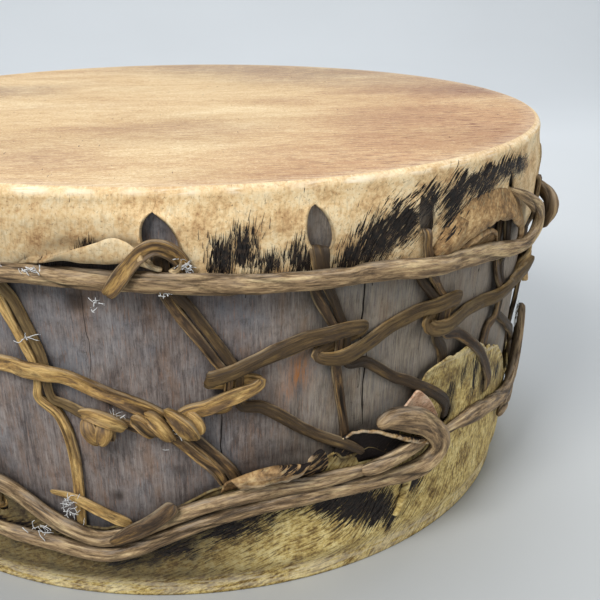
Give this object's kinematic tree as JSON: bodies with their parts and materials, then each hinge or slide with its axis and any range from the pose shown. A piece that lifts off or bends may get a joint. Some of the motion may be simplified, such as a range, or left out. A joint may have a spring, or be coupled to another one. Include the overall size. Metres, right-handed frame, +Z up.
{
  "type": "frame drum",
  "caption": "Round drum with a hollowed wooden shell and a rawhide head over each end, the two skirts roped and pulled together by Y lacing with a cinch thong.",
  "frame": {"origin": "centre of the flat face the drum stands on, on the drum's axis", "axes": "+Z up along the drum's axis, towards the upper head; -Y is the front"},
  "size_m": [0.4133, 0.4137, 0.197],
  "materials": {
    "shell_wood": "weathered, dry, grey-brown with vertical grain and drying cracks",
    "upper_head_rawhide": "dry scraped rawhide, cream with fibrous streaks, mottled skirt with patches of black hair",
    "lower_head_rawhide": "dry rawhide, yellow-brown and mottled, hairy in places, curled edges",
    "rope_rawhide": "thick twisted rawhide strip, dusty",
    "lacing_rawhide": "cut rawhide thong, folded and dusty",
    "cinch_rawhide": "cut rawhide thong, yellow-brown, twisted"
  },
  "bodies": {
    "root": {"bottom_head": "lower_head_rawhide", "cinch_length_01": "cinch_rawhide", "cinch_length_02": "cinch_rawhide", "cinch_length_03": "cinch_rawhide", "cinch_length_04": "cinch_rawhide", "cinch_length_05": "cinch_rawhide", "knot_thong": "lacing_rawhide", "lacing_length_01": "lacing_rawhide", "lacing_length_02": "lacing_rawhide", "lacing_length_03": "lacing_rawhide", "lacing_length_04": "lacing_rawhide", "lacing_length_05": "lacing_rawhide", "lacing_length_06": "lacing_rawhide", "lacing_length_07": "lacing_rawhide", "lacing_length_08": "lacing_rawhide", "lacing_length_09": "lacing_rawhide", "lacing_length_10": "lacing_rawhide", "lacing_length_11": "lacing_rawhide", "lacing_length_12": "lacing_rawhide", "lower_rope_back": "rope_rawhide", "lower_rope_left": "rope_rawhide", "lower_rope_loop": "rope_rawhide", "lower_rope_right": "rope_rawhide", "lower_tie_front": "lacing_rawhide", "lower_tie_left": "lacing_rawhide", "top_head": "upper_head_rawhide", "upper_rope_back": "rope_rawhide", "upper_rope_front": "rope_rawhide", "upper_tie": "lacing_rawhide", "wood_shell": "shell_wood"}
  },
  "joints": []
}
